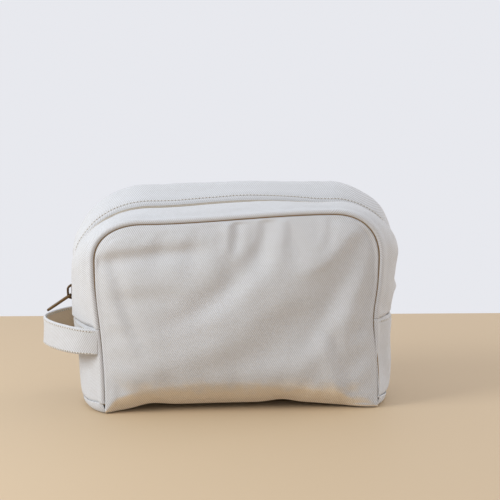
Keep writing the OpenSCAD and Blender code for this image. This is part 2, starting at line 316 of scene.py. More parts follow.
FRONT, OUT = arch(left_seam, right_seam, (131, 129), (42, 42), (TOP_F - 134, TOP_F - 125.2), 0, (0.91, 0.86))
MIDDLE, _ = arch(left_mid, right_mid, (116, 130), (69, 54), (TOP_F - 109.8, TOP_F - 122), 3.2, (1, 1.14))
BACK, _ = arch(left_seam, right_seam, (131, 130), (42, 39), (TOP_B - 129.2, TOP_B - 128.6), 0, (0.98, 0.91))
K = len(FRONT)


def to3(p, y):
    return np.stack([p[..., 0], y * np.ones(p.shape[:-1]), p[..., 1]], -1)


OUT3 = to3(OUT, 0)
# how far above ZIP the left and right side seams are, at the front seam and at the zip
SIDE_DROP = {-1: (-1.6, 2.8), 1: (3.2, 2.2)}


def seam_shift(side, v, z):
    """How far the side seam wanders from level, fading out above and below it."""
    a, b = SIDE_DROP[side]
    a = np.where(v > 0, a * 0.4, a)
    return (a + (b - a) * (1 - np.abs(v) ** 1.4)) * hump(z, ZIP, 17)


def ripples(p, seed):
    return 0.55 * waves(p, 46, seed) + 0.22 * waves(p, 17, seed + 1)


def body_point(half, a, b, y):
    """A point of the gusset: a outward from the seam, b of the way from there to the middle, at depth y."""
    seam = FRONT if half < 0 else BACK
    p = seam[:, None] + OUT[:, None] * a[None, :, None] + (MIDDLE - seam)[:, None] * b[None, :, None]
    g = to3(p, 0)
    g[..., 1] = y[None, :]
    v = y / HD
    if half > 0:
        lift = 13.8 * np.maximum(OUT[:, 1], 0) ** np.where(OUT[:, 0] > 0, 0.84, 0.7)
        lift += 1.9 * hump(OUT[:, 1], 0.72, 0.2) * (OUT[:, 0] > 0)
        over = np.sin(math.pi * np.clip((v - 0.1) / 0.9, 0, 1)) ** 0.8
        g += OUT3[:, None] * (lift[:, None] * over[None])[..., None]
    else:
        puff = 2.6 * np.maximum(OUT[:, 1], 0) * (0.45 + 0.55 * ease(-40, 60, FRONT[:, 0]))
        g += OUT3[:, None] * (puff[:, None] * np.sin(math.pi * np.clip(-v, 0, 1))[None])[..., None]
    # on top the zip leans toward the front, so its far side stands higher
    lean = np.clip(y / 6, -1, 1) * ease(17, 7, np.abs(y))
    tilt = ease(0.5, 0.97, OUT[:, 1]) * (1.0 - 1.5 * ease(25, 80, FRONT[:, 0]))
    g += OUT3[:, None] * (tilt[:, None] * lean[None])[..., None]
    # down the left side the front strip swells past the zip
    swell = 2.0 * hump(y, -13, 8) * (FRONT[:, [0]] < 0) * ease(0.95, 0.4, OUT[:, [1]])
    g += OUT3[:, None] * swell[..., None]
    return g


RIDGE_R, RIDGE_A, RIDGE_Y = 2.3, 2.0, 47.7
# heights of a side panel's top edge and of the stitched groove under it
SIDE_TOP, GROOVE = ZIP - 0.2, ZIP - 4.2
# how far the rolled seam is pulled over the panel's edge: closed low down on the left, open at the corners
SNUG = (0.3 * ease(0.5, 0.95, OUT[:, 1]) + 0.9 * ease(124, 88, FRONT[:, 1]) * (OUT[:, 0] < 0)
        + 0.35 * ease(128, 112, FRONT[:, 1]) * (OUT[:, 0] > 0))


def ridge():
    """The section of the rolled seam: how far out, and at what depth."""
    th = np.radians(np.linspace(165, 323, 11))
    return RIDGE_A + RIDGE_R * np.cos(th), RIDGE_Y - RIDGE_R * np.sin(th)


def gusset(half):
    """The outer face of the strip on one side of the zip: rolled seam, swelling face, folded edge."""
    ridge_a, ridge_y = ridge()
    a0, y0 = ridge_a[-1], ridge_y[-1]
    fold_r = 1.15
    y_end = GAP + fold_r
    ys = np.linspace(y0, y_end, 32)[1:]
    f = 1 - (ys / y0) ** 2.2
    dip = -1.0 * hump(ys, y0 - 6.5, 3.2) - 0.45 * hump(ys, GAP + 2.5, 0.7) - 0.4 * hump(ys, GAP + 10, 4)
    ph = np.radians(np.linspace(90, 270, 9))[1:]
    a = np.concatenate([ridge_a, a0 * (1 - f) + dip, -fold_r + fold_r * np.sin(ph)])
    b = np.concatenate([np.zeros(11), f, np.full(8, 1 - (y_end / y0) ** 2.2)])
    y = np.concatenate([ridge_y, ys, y_end + fold_r * np.cos(ph)])
    if half < 0:
        y = -y
    else:
        a, b, y = a[::-1], b[::-1], y[::-1]
    g = body_point(half, a, b, y)
    v = y / HD
    soft = ease(0.0, 0.12, 1 - np.abs(v)) * ease(0.1, 0.2, np.abs(v))
    g += OUT3[:, None] * (ripples(g, 5 if half < 0 else 9) * soft[None])[..., None]
    g -= OUT3[:, None] * (SNUG[:, None] * ease(0.84, 0.93, np.abs(v))[None])[..., None]
    # the cloth of the right side is pinched where the zip ends
    z, x = g[..., 2], g[..., 0]
    pinch = 2.4 * hump(z, 99, 5) * (x > 0) * ease(0.55, 0.15, np.abs(v))[None]
    g[..., 0] += pinch
    for side in (-1, 1):
        m = (g[..., 0] * side > 0) & (z < 125)
        g[..., 2] += np.where(m, seam_shift(side, v[None], z), 0)
    # turned-in lower ends
    for k, rows in ((0, slice(0, 6)), (1, slice(K - 6, K))):
        d = np.linspace(0, 5, 6) if k == 0 else np.linspace(5, 0, 6)
        inward = 1.5 * (1 - ease(0, 3.5, d))
        g[rows, :, 0] += inward[:, None] * (1 if k == 0 else -1) * ease(1.0, 0.9, np.abs(v))[None]
    return g


def side_heights():
    return np.linspace(base_seam(0), SIDE_TOP, 60)


def side_panel(side):
    """The outer face of the panel under the zip at one side, from its top edge down to the base seam."""
    ra, ry = ridge()
    y0 = ry[-1]
    ys = np.linspace(-y0, y0, 58)[1:-1]
    y = np.concatenate([-ry, ys, ry[::-1]])
    f = np.clip(1 - np.abs(y / y0) ** 2.2, 0, 1)
    a = np.concatenate([ra, ra[-1] * (1 - f[11:-11]) - 1.0 * hump(np.abs(ys), y0 - 6.5, 3.2), ra[::-1]])
    z = side_heights()
    seam = left_seam(z) if side < 0 else right_seam(z)
    mid = left_mid(z) if side < 0 else right_mid(z)
    tuck = np.where(y < 0, ease(62, 40, z)[:, None] if side > 0 else 0 * z[:, None], 0)
    x = seam[:, None] + a[None] * (1 - 0.75 * tuck * hump(y, -HD, 9)[None]) + (mid - seam)[:, None] * f[None]
    v = y / HD
    x -= (0.9 if side < 0 else 0.35) * ease(0.84, 0.93, np.abs(v))[None]
    zz = z[:, None] + (base_seam(v) - base_seam(0))[None] * ease(40, 5, z)[:, None]
    zz = zz + seam_shift(side, v[None], z[:, None])
    g = np.stack([side * x, y[None] * np.ones_like(x), zz], -1)
    soft = ease(0.0, 0.15, 1 - np.abs(v))[None]
    g[..., 0] += side * ripples(g, 21 + side) * soft
    if side > 0:
        g[..., 0] -= 6.5 * hump(v, -0.78, 0.17)[None] * hump(z, 42, 26)[:, None]
        g[..., 0] += 1.5 * hump(v, -0.3, 0.3)[None] * hump(z, 30, 20)[:, None]
    else:
        g[..., 0] += 1.6 * hump(v, -0.66, 0.2)[None] * hump(z, 40, 20)[:, None]
    top = ease(4, 0, SIDE_TOP - z)[:, None] * ease(1.0, 0.9, np.abs(v))[None]
    low = ease(3, 0, z - base_seam(0))[:, None]
    g[..., 0] -= side * (1.5 * top + 0.7 * low)
    # stitched groove under the seam
    g[..., 0] -= side * 0.5 * hump(z, GROOVE, 0.9)[:, None] * ease(1.0, 0.9, np.abs(v))[None]
    return g if side < 0 else g[:, ::-1]


def base_seam(v):
    """Height of the seam between a side panel and the turned-up end of the base."""
    return 6.6 + 2.4 * np.abs(v) ** 2


def front_lift(x):
    """How far the front lower edge is lifted off the table: the cloth sags up between its corners."""
    sag = 3.8 * ease(-106, -74, x) * ease(116, 50, x)
    return sag + 1.8 * hump(x, -71, 13) + 2.6 * hump(x, 39, 13)


def back_lift(x):
    return 4.5 * hump(x, -20, 60) * ease(-117, -95, x) * ease(119, 95, x)


def edge_lift(back, x, z):
    """The lift of a panel's lower edge, fading out upward."""
    return (back_lift(x) if back else front_lift(x)) * np.clip(1 - z / 45, 0, 1) ** 2


# ---------------- flat panels
ROWS, COLS, BAND = 103, 148, 5.0


def panel_lines(back, d):
    """The four sides of a panel, d inside its seam: bottom, right, top, left."""
    zl = np.linspace(0, ZIP, 60, endpoint=False)
    line = np.concatenate([np.stack([-left_seam(zl), zl], 1), BACK if back else FRONT,
                           np.stack([right_seam(zl), zl], 1)[::-1]])
    way = unit(np.gradient(line, axis=0))
    line = line + np.stack([way[:, 1], -way[:, 0]], 1) * d
    i = 60 + N_SIDE + N_CORNER // 2
    left, top, right = line[:i + 1], line[i:len(line) - i], line[len(line) - i - 1:][::-1]

    def foot(side):
        x = np.interp(d, side[:, 1], side[:, 0])
        return np.concatenate([[[x, d]], side[side[:, 1] > d + 0.05]])
    left, right, top = resample(foot(left), ROWS), resample(foot(right), ROWS), resample(top, COLS)
    bottom = left[0] + (right[0] - left[0]) * np.linspace(0, 1, COLS)[:, None]
    return bottom, right, top, left


def panel_edge(back, d):
    b, r, t, l = panel_lines(back, d)
    return np.concatenate([b, r[1:], t[::-1][1:], l[::-1][1:-1]])


def panel_mesh(back):
    """A panel's points in its own plane: a grid inside, then rings out to the seam. Also gives its faces."""
    bottom, right, top, left = panel_lines(back, BAND + 0.9)
    u, v = np.linspace(0, 1, COLS)[None, :, None], np.linspace(0, 1, ROWS)[:, None, None]
    corners = (1 - v) * ((1 - u) * bottom[0] + u * bottom[-1]) + v * ((1 - u) * top[0] + u * top[-1])
    grid = (1 - v) * bottom[None] + v * top[None] + (1 - u) * left[:, None] + u * right[:, None] - corners
    pts, n = [grid.reshape(-1, 2)], ROWS * COLS
    q = cells(ROWS, COLS)
    faces = [np.stack([q, q + 1, q + COLS + 1, q + COLS], 1)]
    loop = rim(ROWS, COLS)
    for d in (3.9, 2.9, 2.0, 1.3, 0.75, 0.35, 0.1, 0.0):
        pts.append(panel_edge(back, d + 0.9))
        ring = n + np.arange(len(loop))
        n += len(loop)
        faces.append(np.stack([loop, ring, np.roll(ring, -1), np.roll(loop, -1)], 1))
        loop = ring
    return np.concatenate(pts), np.concatenate(faces)


def thicken(name, p, faces, t, uv):
    """A closed sheet from one face of it, given its thickness."""
    c = p[faces]
    fn = np.cross(c[:, 2] - c[:, 0], c[:, 3] - c[:, 1])
    n = np.zeros_like(p)
    for k in range(4):
        np.add.at(n, faces[:, k], fn)
    q = p - unit(n) * t
    q[:, 2] = np.maximum(q[:, 2], 0.05)
    edges = np.concatenate([faces[:, [k, (k + 1) % 4]] for k in range(4)])
    key = np.sort(edges, 1)
    _, first, count = np.unique(key, axis=0, return_index=True, return_counts=True)
    a, b = edges[first[count == 1]].T
    m = len(p)
    side = np.stack([b, a, a + m, b + m], 1)
    return make(name, np.concatenate([p, q]), np.concatenate([faces, faces[:, ::-1] + m, side]),
                np.concatenate([uv, uv]))


def seam_distance(back, p):
    """Distance of each point to the panel's own edge."""
    a = panel_edge(back, 0.9)
    ab = np.roll(a, -1, 0) - a
    size = np.maximum((ab ** 2).sum(1), 1e-9)
    best = np.full(len(p), 1e9)
    for i in range(0, len(a), 50):
        k = slice(i, i + 50)
        s = np.clip(((p[:, None] - a[None, k]) * ab[None, k]).sum(-1) / size[None, k], 0, 1)
        near = a[None, k] + ab[None, k] * s[..., None]
        best = np.minimum(best, np.sqrt(((p[:, None] - near) ** 2).sum(-1)).min(1))
    return best


def crease(along, across, points, width, slope):
    """Cloth that slopes by a given amount all along a curve through three points, fading at its ends."""
    a, b = np.array(points, float).T
    curve = np.polyfit(a, b, 2)
    t = (across - np.polyval(curve, along)) / np.sqrt(1 + np.polyval(np.polyder(curve), along) ** 2)
    lo, hi = min(a), max(a)
    soft = 0.22 * (hi - lo)
    ends = ease(lo - soft, lo + soft, along) * ease(hi + soft, hi - soft, along)
    return slope * t * np.exp(-((t / width) ** 2)) * ends


def front_folds(x, z):
    """The folds of the front panel: height toward the viewer, in millimetres."""
    h = 0
    # across the upper left, as a height against x: a deep dent under the corner and a soft one below it
    for points, width, slope in ((((-122, 134), (-80, 140.5), (-34, 144)), 8.5, 0.52),
                                 (((-122, 145.5), (-84, 151), (-38, 154)), 8, 0.17),
                                 (((-100, 103), (-74, 105.5), (-48, 107)), 10, 0.17)):
        h += crease(x, z, points, width, slope)
    # the rest run up and down or slanting, as x against height
    for points, width, slope in (
            # slack beside the left seam
            (((132, -108), (100, -101), (60, -87)), 8, -0.34),
            # gathers hanging from the top seam
            (((168, -3.2), (156, -4), (138, -6)), 6.2, -0.55),
            (((168, 20.5), (157, 20.2), (144, 18)), 6, -0.2),
            (((168, 42), (157, 42), (144, 41)), 5, -0.16), (((168, 77), (157, 76), (142, 73)), 5.5, -0.22),
            # the long slanting fold from the middle of the top seam, dark then light across it
            (((142, 8), (124, -8), (104, -27)), 15, -0.16), (((166, 33), (124, 17), (78, -38)), 12, 0.26),
            # the broad hollow from the upper right corner and the crest beside it
            (((155, 105), (110, 66), (44, -16)), 25, -0.23), (((154, 103), (142, 93), (120, 70)), 8, -0.2),
            (((144, 112), (104, 93), (52, 62)), 12, 0.26), (((136, 113), (97, 106), (54, 94)), 8, -0.22),
            # the lower right corner
            (((66, 76), (36, 85), (4, 96)), 9, -0.36), (((66, 60), (40, 64), (10, 72)), 12, -0.12)):
        h += crease(z, x, points, width, slope)
    return h


def settle(g, pins, frames=16, press=1.2, slack=0.012):
    """Lets a grid of cloth settle with its pinned edge held, and gives back the settled grid."""
    r, c, _ = g.shape
    a = cells(r, c)
    o = make("settling_cloth", g.reshape(-1, 3) * 10, np.stack([a, a + c, a + c + 1, a + 1], 1))
    grp = o.vertex_groups.new(name="pins")
    p = pins.ravel()
    for level in np.unique(np.round(p, 2)):
        if level > 0:
            grp.add(np.nonzero(np.round(p, 2) == level)[0].tolist(), float(level), "REPLACE")
    m = o.modifiers.new("cloth", "CLOTH")
    s = m.settings
    s.quality, s.mass, s.air_damping = 6, 0.35, 2.0
    s.tension_stiffness = s.compression_stiffness = 22
    s.shear_stiffness, s.bending_stiffness = 14, 4.0
    s.tension_damping = s.compression_damping = s.shear_damping = 12
    s.vertex_group_mass, s.pin_stiffness = "pins", 1.0
    s.shrink_min = -slack
    s.use_pressure, s.uniform_pressure_force = True, press
    s.effector_weights.gravity = 0.4
    m.point_cache.frame_start, m.point_cache.frame_end = 1, frames
    scene = bpy.context.scene
    for f in range(1, frames + 1):
        scene.frame_set(f)
    dg = bpy.context.evaluated_depsgraph_get()
    me = o.evaluated_get(dg).to_mesh()
    co = np.zeros(len(me.vertices) * 3, np.float32)
    me.vertices.foreach_get("co", co)
    o.evaluated_get(dg).to_mesh_clear()
    bpy.data.objects.remove(o)
    scene.frame_set(1)
    return co.reshape(r, c, 3).astype(float) * 100


def upsample(d, shape):
    r, c = d.shape
    R, C = shape
    rows = np.array([np.interp(np.linspace(0, c - 1, C), np.arange(c), row) for row in d])
    return np.array([np.interp(np.linspace(0, r - 1, R), np.arange(r), col) for col in rows.T]).T


def blur(d, n):
    for _ in range(n):
        p = np.pad(d, 1, mode="edge")
        d = (p[:-2, 1:-1] + p[2:, 1:-1] + p[1:-1, :-2] + p[1:-1, 2:] + 2 * d) / 6
    return d


def tucked(x, z=0):
    """How far in the front has turned at a height: it slopes back below a line that rises midway."""
    start = (8 + 19 * hump(x, -15, 96)) * ease(-119, -100, x) * ease(122, 88, x)
    below = np.maximum(start - z, 0)
    gentle = np.maximum(start + 36 * ease(8, 24, start) - z, 0)
    soft, softer = 3.0, 14.0
    steep = 0.34 * (np.sqrt(below ** 2 + soft ** 2) - soft)
    return steep + 0.07 * (np.sqrt(gentle ** 2 + softer ** 2) - softer)


def panel_face(back):
    """A whole panel: its points in space, its faces, and the grid inside it."""
    flat, faces = panel_mesh(back)
    x, z = flat.T
    dist = seam_distance(back, flat)
    hi = TOP_B if back else TOP_F
    c = (x - 3) / 119
    up = np.clip(z / hi, 0, 1) ** 0.8
    belly = 6.4 * (1 - np.clip(np.abs(c), 0, 1) ** np.where(c > 0, 1.7, 2.6))
    belly *= 1 - np.abs(up * 2 - 1) ** 2.2
    space = np.stack([x, z, 0 * x], -1)
    inner = ease(1, 22, dist)
    if back:
        h = belly + inner * (1.8 * waves(space, 85, 40) + 0.7 * waves(space, 34, 41))
    else:
        h = belly + inner * 0.4 * waves(space, 36, 44)
    n = ROWS * COLS
    coarse = np.stack([x[:n], (1 if back else -1) * h[:n], z[:n]], -1).reshape(ROWS, COLS, 3)[::3, ::3]
    pins = np.zeros(coarse.shape[:2])
    pins[0], pins[-1], pins[:, 0], pins[:, -1] = 1, 1, 1, 1
    turned = coarse if back else coarse[:, ::-1]
    moved = settle(turned, pins) - turned
    moved = moved if back else moved[:, ::-1]
    dy = np.clip(moved[..., 1] * (1 if back else -1), -5, 5)
    h[:n] += blur(upsample(blur(dy, 1), (ROWS, COLS)), 2).ravel()
    if back:
        h += ease(0.5, 8, dist) * (crease(z, x, ((30, -76), (60, -40), (100, 0)), 12, 0.16)
                                   + crease(z, x, ((160, 46), (120, 30), (80, 6)), 9, -0.2))
    else:
        h += ease(0.3, 4.5, dist) * front_folds(x, z)
    h -= 1.3 * np.clip(1 - dist / 11, 0, 1) ** 2 + 1.5 * (1 - np.sqrt(1 - np.clip(1 - dist / 1.5, 0, 1) ** 2))
    if not back:
        h -= tucked(x, z)
    y = HD + 1.0 + h
    p = np.stack([x, y if back else -y, z + edge_lift(back, x, z)], -1)
    return p, (faces[:, ::-1] if back else faces), p[:ROWS * COLS].reshape(ROWS, COLS, 3)


# ---------------- materials
def nodes_of(name):
    m = bpy.data.materials.new(name)
    m.use_nodes = True
    nt = m.node_tree
    return m, nt, nt.nodes["Principled BSDF"]


def math_node(nt, op, a, b=None, clamp=False):
    n = nt.nodes.new("ShaderNodeMath")
    n.operation, n.use_clamp = op, clamp
    for k, v in enumerate((a, b)):
        if v is None:
            continue
        if isinstance(v, (int, float)):
            n.inputs[k].default_value = v
        else:
            nt.links.new(v, n.inputs[k])
    return n.outputs[0]


def mix_node(nt, fac, a, b):
    n = nt.nodes.new("ShaderNodeMix")
    n.data_type = "RGBA"
    for k, v in ((0, fac), (6, a), (7, b)):
        if isinstance(v, (int, float)):
            n.inputs[k].default_value = v
        elif isinstance(v, tuple):
            n.inputs[k].default_value = (*v, 1)
        else:
            nt.links.new(v, n.inputs[k])
    return n.outputs[2]


def noise_node(nt, vec, scale, detail=3.0, rough=0.55):
    n = nt.nodes.new("ShaderNodeTexNoise")
    n.inputs["Scale"].default_value, n.inputs["Detail"].default_value = scale, detail
    n.inputs["Roughness"].default_value = rough
    nt.links.new(vec, n.inputs["Vector"])
    return n.outputs[0]


def bump_node(nt, height, strength, distance, normal=None):
    n = nt.nodes.new("ShaderNodeBump")
    n.inputs["Strength"].default_value, n.inputs["Distance"].default_value = strength, distance
    nt.links.new(height, n.inputs["Height"])
    if normal is not None:
        nt.links.new(normal, n.inputs["Normal"])
    return n.outputs[0]


def woven(name, across, along, light, dark, over=3, depth=0.00022, low=None):
    """Woven cloth: round threads that pass over (over - 1) cross threads and under one, in slanting steps.

    low is a second pair of colours, for a painted warm light that stands in for the table's bounce on cloth
    that faces down close to it.
    """
    m, nt, bsdf = nodes_of(name)
    uv = nt.nodes.new("ShaderNodeUVMap")
    uv.uv_map = "cloth"
    wob = nt.nodes.new("ShaderNodeTexNoise")
    wob.inputs["Scale"].default_value, wob.inputs["Detail"].default_value = 70, 1
    nt.links.new(uv.outputs[0], wob.inputs["Vector"])
    shift = nt.nodes.new("ShaderNodeVectorMath")
    shift.operation = "MULTIPLY_ADD"
    nt.links.new(wob.outputs["Color"], shift.inputs[0])
    shift.inputs[1].default_value = (across * 1.1,) * 3
    nt.links.new(uv.outputs[0], shift.inputs[2])
    sep = nt.nodes.new("ShaderNodeSeparateXYZ")
    nt.links.new(shift.outputs[0], sep.inputs[0])
    a = math_node(nt, "DIVIDE", sep.outputs[0], across)
    b = math_node(nt, "DIVIDE", sep.outputs[1], along)
    step = math_node(nt, "ADD", math_node(nt, "FLOOR", a), b)
    part = math_node(nt, "FRACT", math_node(nt, "DIVIDE", step, float(over)))
    q = math_node(nt, "MULTIPLY", part, float(over))
    top = math_node(nt, "SINE", math_node(nt, "MULTIPLY", q, math.pi / (over - 1)))
    top = math_node(nt, "POWER", math_node(nt, "MAXIMUM", top, 0.0), 0.6)
    side = math_node(nt, "ABSOLUTE", math_node(nt, "SINE", math_node(nt, "MULTIPLY", a, math.pi)))
    side = math_node(nt, "POWER", side, 0.6)
    height = math_node(nt, "MULTIPLY", top, side)
    obj = nt.nodes.new("ShaderNodeTexCoord").outputs["Object"]
    big, fine = noise_node(nt, obj, 20, 3), noise_node(nt, uv.outputs[0], 1600, 2)
    slub = noise_node(nt, uv.outputs[0], 240, 2)
    # the colour follows the threads' height, darker where they dip under: painted shade between the threads;
    # the noises add random tone
    tone = math_node(nt, "MULTIPLY", height, 0.66)
    for noise, share in ((fine, 0.15), (slub, 0.15), (big, 0.12)):
        tone = math_node(nt, "ADD", tone, math_node(nt, "MULTIPLY", noise, share), clamp=noise is big)
    colour = mix_node(nt, tone, dark, light)
    if low is not None:
        # painted light: a patchy tan tone standing in for the warm bounce from the table, where the cloth
        # faces down less than about 31 mm above it
        coord = nt.nodes.new("ShaderNodeTexCoord")
        place, facing = nt.nodes.new("ShaderNodeSeparateXYZ"), nt.nodes.new("ShaderNodeSeparateXYZ")
        nt.links.new(coord.outputs["Object"], place.inputs[0])
        nt.links.new(coord.outputs["Normal"], facing.inputs[0])
        patchy = math_node(nt, "SUBTRACT", noise_node(nt, coord.outputs["Object"], 90, 3), 0.5)
        patchy = math_node(nt, "MULTIPLY", patchy, 0.016)
        height_left = math_node(nt, "SUBTRACT", math_node(nt, "ADD", patchy, 0.031), place.outputs[2])
        near = math_node(nt, "MULTIPLY", height_left, 65.0, clamp=True)
        under = math_node(nt, "SUBTRACT", math_node(nt, "MULTIPLY", facing.outputs[2], -1.0), 0.13)
        under = math_node(nt, "MULTIPLY", under, 4.0, clamp=True)
        share, tan = math_node(nt, "MULTIPLY", near, under), mix_node(nt, tone, low[1], low[0])
        colour = mix_node(nt, share, colour, tan)
    nt.links.new(colour, bsdf.inputs["Base Color"])
    bsdf.inputs["Roughness"].default_value = 0.9
    bsdf.inputs["Sheen Weight"].default_value = 0.2
    bsdf.inputs["Sheen Roughness"].default_value = 0.5
    bsdf.inputs["Specular IOR Level"].default_value = 0.15
    n1 = bump_node(nt, height, 0.8, depth)
    nt.links.new(bump_node(nt, slub, 0.3, 0.0004, n1), bsdf.inputs["Normal"])
    return m


def brass(name, dark, light, seed=0.0):
    m, nt, bsdf = nodes_of(name)
    obj = nt.nodes.new("ShaderNodeTexCoord").outputs["Object"]
    patina, grain = noise_node(nt, obj, 420 + seed, 5, 0.6), noise_node(nt, obj, 5200, 3, 0.6)
    geo = nt.nodes.new("ShaderNodeNewGeometry")
    worn = math_node(nt, "SUBTRACT", geo.outputs["Pointiness"], 0.5)
    worn = math_node(nt, "MULTIPLY", worn, 9.0, clamp=True)
    tone = math_node(nt, "ADD", math_node(nt, "MULTIPLY", patina, 0.75), worn, clamp=True)
    nt.links.new(mix_node(nt, tone, dark, light), bsdf.inputs["Base Color"])
    nt.links.new(math_node(nt, "ADD", math_node(nt, "MULTIPLY", grain, 0.25), 0.36), bsdf.inputs["Roughness"])
    bsdf.inputs["Metallic"].default_value = 1.0
    nt.links.new(bump_node(nt, grain, 0.25, 0.00008), bsdf.inputs["Normal"])
    return m


def thread(name, light, dark):
    m, nt, bsdf = nodes_of(name)
    obj = nt.nodes.new("ShaderNodeTexCoord").outputs["Object"]
    twist = nt.nodes.new("ShaderNodeTexWave")
    twist.bands_direction = "DIAGONAL"
    twist.inputs["Scale"].default_value = 900
    nt.links.new(obj, twist.inputs["Vector"])
    nt.links.new(mix_node(nt, twist.outputs["Fac"], dark, light), bsdf.inputs["Base Color"])
    bsdf.inputs["Roughness"].default_value = 0.8
    bsdf.inputs["Sheen Weight"].default_value = 0.2
    nt.links.new(bump_node(nt, twist.outputs["Fac"], 0.5, 0.0001), bsdf.inputs["Normal"])
    return m


def plastic(name, light, dark):
    m, nt, bsdf = nodes_of(name)
    obj = nt.nodes.new("ShaderNodeTexCoord").outputs["Object"]
    n = noise_node(nt, obj, 700, 3)
    nt.links.new(mix_node(nt, n, dark, light), bsdf.inputs["Base Color"])
    nt.links.new(math_node(nt, "ADD", math_node(nt, "MULTIPLY", n, 0.2), 0.32), bsdf.inputs["Roughness"])
    nt.links.new(bump_node(nt, n, 0.2, 0.00005), bsdf.inputs["Normal"])
    return m


# the dark colour is where threads dip: painted shade between them, mixed with random tone
CANVAS = (0.00058, 0.00093, (0.80, 0.82, 0.865), (0.39, 0.375, 0.35))  # thread sizes in metres, light, dark
canvas = woven("canvas_twill", *CANVAS)
# the front panel's canvas, with painted warm bounce light low down near the table
canvas_front_painted_bounce = woven("canvas_twill_front", *CANVAS, low=((0.95, 0.825, 0.665), (0.5, 0.41, 0.29)))
# a tan, darker copy of the canvas for the handle loop's inner faces: painted shade and warm bounce from the
# table
canvas_painted_shade = woven("canvas_twill_inner_face", *CANVAS[:2], (0.82, 0.66, 0.47), (0.45, 0.35, 0.235))
lining = woven("lining_cotton", 0.0005, 0.0005, (0.80, 0.78, 0.73), (0.50, 0.475, 0.43), over=2, depth=0.0001)
tape_mat = woven("zip_tape_weave", 0.00042, 0.0006, (0.66, 0.62, 0.56), (0.34, 0.30, 0.25), over=2,
                 depth=0.0001)
stitch_mat = thread("cotton_thread", (0.80, 0.78, 0.74), (0.52, 0.49, 0.44))
# dark capsules that paint the shade inside the needle holes
hole_shade_mat = thread("needle_holes", (0.33, 0.27, 0.19), (0.19, 0.15, 0.105))
# a dark tan cord set deep in the front and back seam grooves: painted shade
seam_shade_mat = thread("seam_thread_tan", (0.33, 0.215, 0.10), (0.17, 0.105, 0.045))
teeth_mat = plastic("zip_teeth_nylon", (0.52, 0.44, 0.33), (0.34, 0.27, 0.185))
# the brass is darkened to paint the shade the slider, bail and stops sit in; the pull has a lighter copy of
# it
brass_shaded_mat = brass("antique_brass_aged", (0.04, 0.024, 0.011), (0.19, 0.115, 0.055))
pull_mat = brass("antique_brass_worn", (0.075, 0.044, 0.019), (0.27, 0.17, 0.082), 60)


def dress(o, mat):
    o.data.materials.clear()
    o.data.materials.append(mat)
    return o


def opens(o):
    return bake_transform(o)


def stays(o):
    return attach(o, "body")


def piece(o, mat, slot, hold, *replaced):
    """Dresses a piece, gives it to hold() to say what it rides on, and hides the CAD pieces it stands for."""
    hold(dress(o, mat))
    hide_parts(*replaced)


HALVES = ((-1, "front", opens), (1, "back", stays))
SIDES = ((-1, "left"), (1, "right"))
PANEL_T, STRIP_T, BASE_T, LINING_T, TAPE_T = 1.1, 0.85, 1.0, 0.4, 0.5  # thickness of each cloth


# ---------------- cloth pieces
front_pts, front_faces, front_face = panel_face(False)
back_pts, back_faces, back_face = panel_face(True)
strips = {-1: gusset(-1), 1: gusset(1)}
sides = {-1: side_panel(-1), 1: side_panel(1)}

panel = thicken("front_panel_cloth", front_pts, front_faces, PANEL_T, front_pts[:, [0, 2]])
piece(panel, canvas_front_painted_bounce, "canvas", opens, "front_panel_upper", "front_panel_lower")
panel = thicken("back_panel_cloth", back_pts, back_faces, PANEL_T, back_pts[:, [0, 2]] * [-1, 1])
piece(panel, canvas, "canvas", stays, "back_panel")
for half, word, hold in HALVES:
    strip = shell(word + "_gusset_strip", strips[half], STRIP_T, strip_uv(strips[half]))
    piece(strip, canvas, "canvas", hold, word + "_zip_strip")
for side, word in SIDES:
    piece(shell(word + "_side_cloth", sides[side], STRIP_T), canvas, "canvas", stays, word + "_side_panel")

# ---------------- base: a flat sole with turned-up ends
BASE_Y = 47.6  # half its depth


def base_face():
    """The base's outer face: flat, lifted where the panels' edges lift, and turned up at both ends."""
    v = np.linspace(-1, 1, 40)
    ys = v * BASE_Y
    ends = []
    for row in (sides[-1][0], sides[1][0, ::-1]):
        row = row[np.argsort(row[:, 1])]
        ends.append([np.interp(ys, row[:, 1], row[:, k]) for k in (0, 2)])
    (xl, zl), (xr, zr) = ends
    a = np.radians(90 * np.linspace(0, 1, 12))
    across, up = 1 - np.cos(a), 1 - np.sin(a)
    out, lo, flat = [], 0.1, 120
    for k in range(len(v)):
        hollow = 0.9 * (1 - abs(v[k]) ** 3)
        left_x, left_z = xl[k] - hollow + 6.5 * across, lo + (zl[k] - lo + 0.3) * up
        right_x, right_z = xr[k] + hollow - 6.0 * across, lo + (zr[k] - lo + 0.3) * up
        xm = np.linspace(left_x[-1], right_x[-1], flat + 2)[1:-1]
        row_x = np.concatenate([left_x, xm, right_x[::-1]])
        row_z = np.concatenate([left_z, np.full(flat, lo), right_z[::-1]])
        near, far = ease(0.3, -0.65, v[k]), ease(0.1, 1, v[k])
        lift = front_lift(row_x) * near + back_lift(row_x) * far
        row_z = np.maximum(row_z, lo + lift + 0.8 * abs(v[k]) ** 8)
        row_y = ys[k] + (tucked(row_x) - 1.6) * ease(0.4, -1, v[k])
        out.append(np.stack([row_x, row_y, row_z], 1))
    return np.array(out)


base_grid = base_face()[::-1]
base = shell("base_cloth", base_grid, BASE_T, inner=base_grid + [0, 0, BASE_T])
piece(base, canvas, "canvas", stays, "base_panel")


# ---------------- lining and bound seams, seen when the mouth is open
def lined(name, g, d, hold, *replaced):
    piece(shell(name, g - normals(g) * d, LINING_T), lining, "lining", hold, *replaced)


